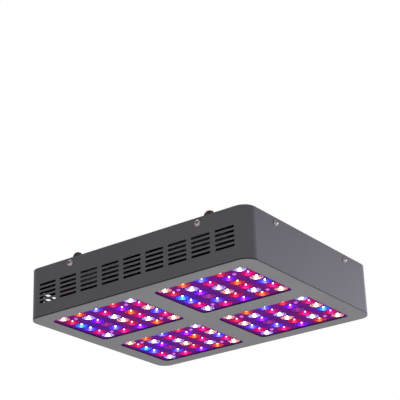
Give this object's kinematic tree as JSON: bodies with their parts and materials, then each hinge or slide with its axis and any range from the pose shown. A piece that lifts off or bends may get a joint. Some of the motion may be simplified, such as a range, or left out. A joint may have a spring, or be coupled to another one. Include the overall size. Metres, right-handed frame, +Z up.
{
  "type": "led grow light",
  "caption": "Rectangular LED grow light: vented steel tray, mirror-cup LED windows in its underside, fan-cooled lid, hanging eyes, mains sockets and rocker switches at one end.",
  "frame": {"origin": "centre of the bounding box's lower face, on the flat underside of the tray", "axes": "+X along the length, away from the socket end; -Y out of the vented long side that the picture shows; +Z up, from the windows to the hanging eyes"},
  "size_m": [0.4116, 0.3416, 0.0983],
  "materials": {
    "powder_coat": "fine-texture powder coat, dark grey",
    "nickel_steel": "nickel-plated steel",
    "bronze_steel": "dark bronze-plated steel",
    "mirror_plastic": "metallised mirror plastic lit violet by the LEDs",
    "board": "white solder mask on aluminium",
    "led_warm": "warm white LED, lit",
    "led_cool": "cool white LED, lit",
    "led_amber": "amber LED, lit",
    "led_red": "red LED, lit",
    "led_deep_red": "deep red LED, lit",
    "led_violet": "violet LED, lit",
    "led_royal": "royal blue LED, lit",
    "led_blue": "blue LED, lit",
    "led_infrared": "infrared LED, looks unlit",
    "pink_steel": "plated steel lit pink by the LEDs",
    "black_anodised": "black anodised",
    "black_plastic": "moulded black",
    "aluminium": "mill finish",
    "green_board": "green solder mask",
    "grey_plastic": "moulded light grey",
    "wire_red": "PVC insulation",
    "wire_black": "PVC insulation",
    "brass": "stamped brass",
    "rocker_red": "moulded red"
  },
  "bodies": {
    "lamp": {"housing": "powder_coat", "top_cover": "powder_coat", "cover_screws": "nickel_steel", "hanging_eyes": "bronze_steel", "eye_washers": "nickel_steel", "eye_nuts": "nickel_steel", "reflectors": "mirror_plastic", "led_boards": "board", "led_warm": "led_warm", "led_cool": "led_cool", "led_amber": "led_amber", "led_red": "led_red", "led_deep_red": "led_deep_red", "led_violet": "led_violet", "led_royal": "led_royal", "led_blue": "led_blue", "led_infrared": "led_infrared", "module_screws": "pink_steel", "module_nuts": "nickel_steel", "heat_sinks": "black_anodised", "fan_frames": "black_plastic", "fan_guards": "nickel_steel", "fan_screws": "nickel_steel", "driver_cases": "aluminium", "driver_lids": "aluminium", "driver_boards": "green_board", "driver_screws": "nickel_steel", "terminal_bracket": "aluminium", "bracket_screws": "nickel_steel", "terminal_block": "grey_plastic", "terminal_screws": "nickel_steel", "earth_post": "nickel_steel", "earth_nut": "nickel_steel", "mains_wires": "wire_red", "outlet_wires": "wire_red", "switch_wires": "wire_red", "driver_wires": "wire_red", "fan_wires": "wire_black", "power_inlet": "black_plastic", "inlet_pins": "nickel_steel", "power_outlet": "black_plastic", "outlet_contacts": "brass", "socket_screws": "nickel_steel", "switch_bodies": "black_plastic"},
    "rotor_left": {"fan_rotor_left": "black_plastic"},
    "rotor_right": {"fan_rotor_right": "black_plastic"},
    "switch_front": {"rocker_front": "rocker_red"},
    "switch_rear": {"rocker_rear": "rocker_red"}
  },
  "joints": [
    {"name": "fan_left_spin", "type": "hinge", "parent": "lamp", "child": "rotor_left", "pos_m": [-0.09725, 0, 0.0668], "axis": [0, 0, 1], "continuous": true},
    {"name": "fan_right_spin", "type": "hinge", "parent": "lamp", "child": "rotor_right", "pos_m": [0.09725, 0, 0.0668], "axis": [0, 0, 1], "continuous": true},
    {"name": "rocker_front_tilt", "type": "hinge", "parent": "lamp", "child": "switch_front", "pos_m": [-0.1976, 0.036, 0.04], "axis": [0, 1, 0], "range_deg": [-18, 0]},
    {"name": "rocker_rear_tilt", "type": "hinge", "parent": "lamp", "child": "switch_rear", "pos_m": [-0.1976, 0.062, 0.04], "axis": [0, 1, 0], "range_deg": [-18, 0]}
  ]
}
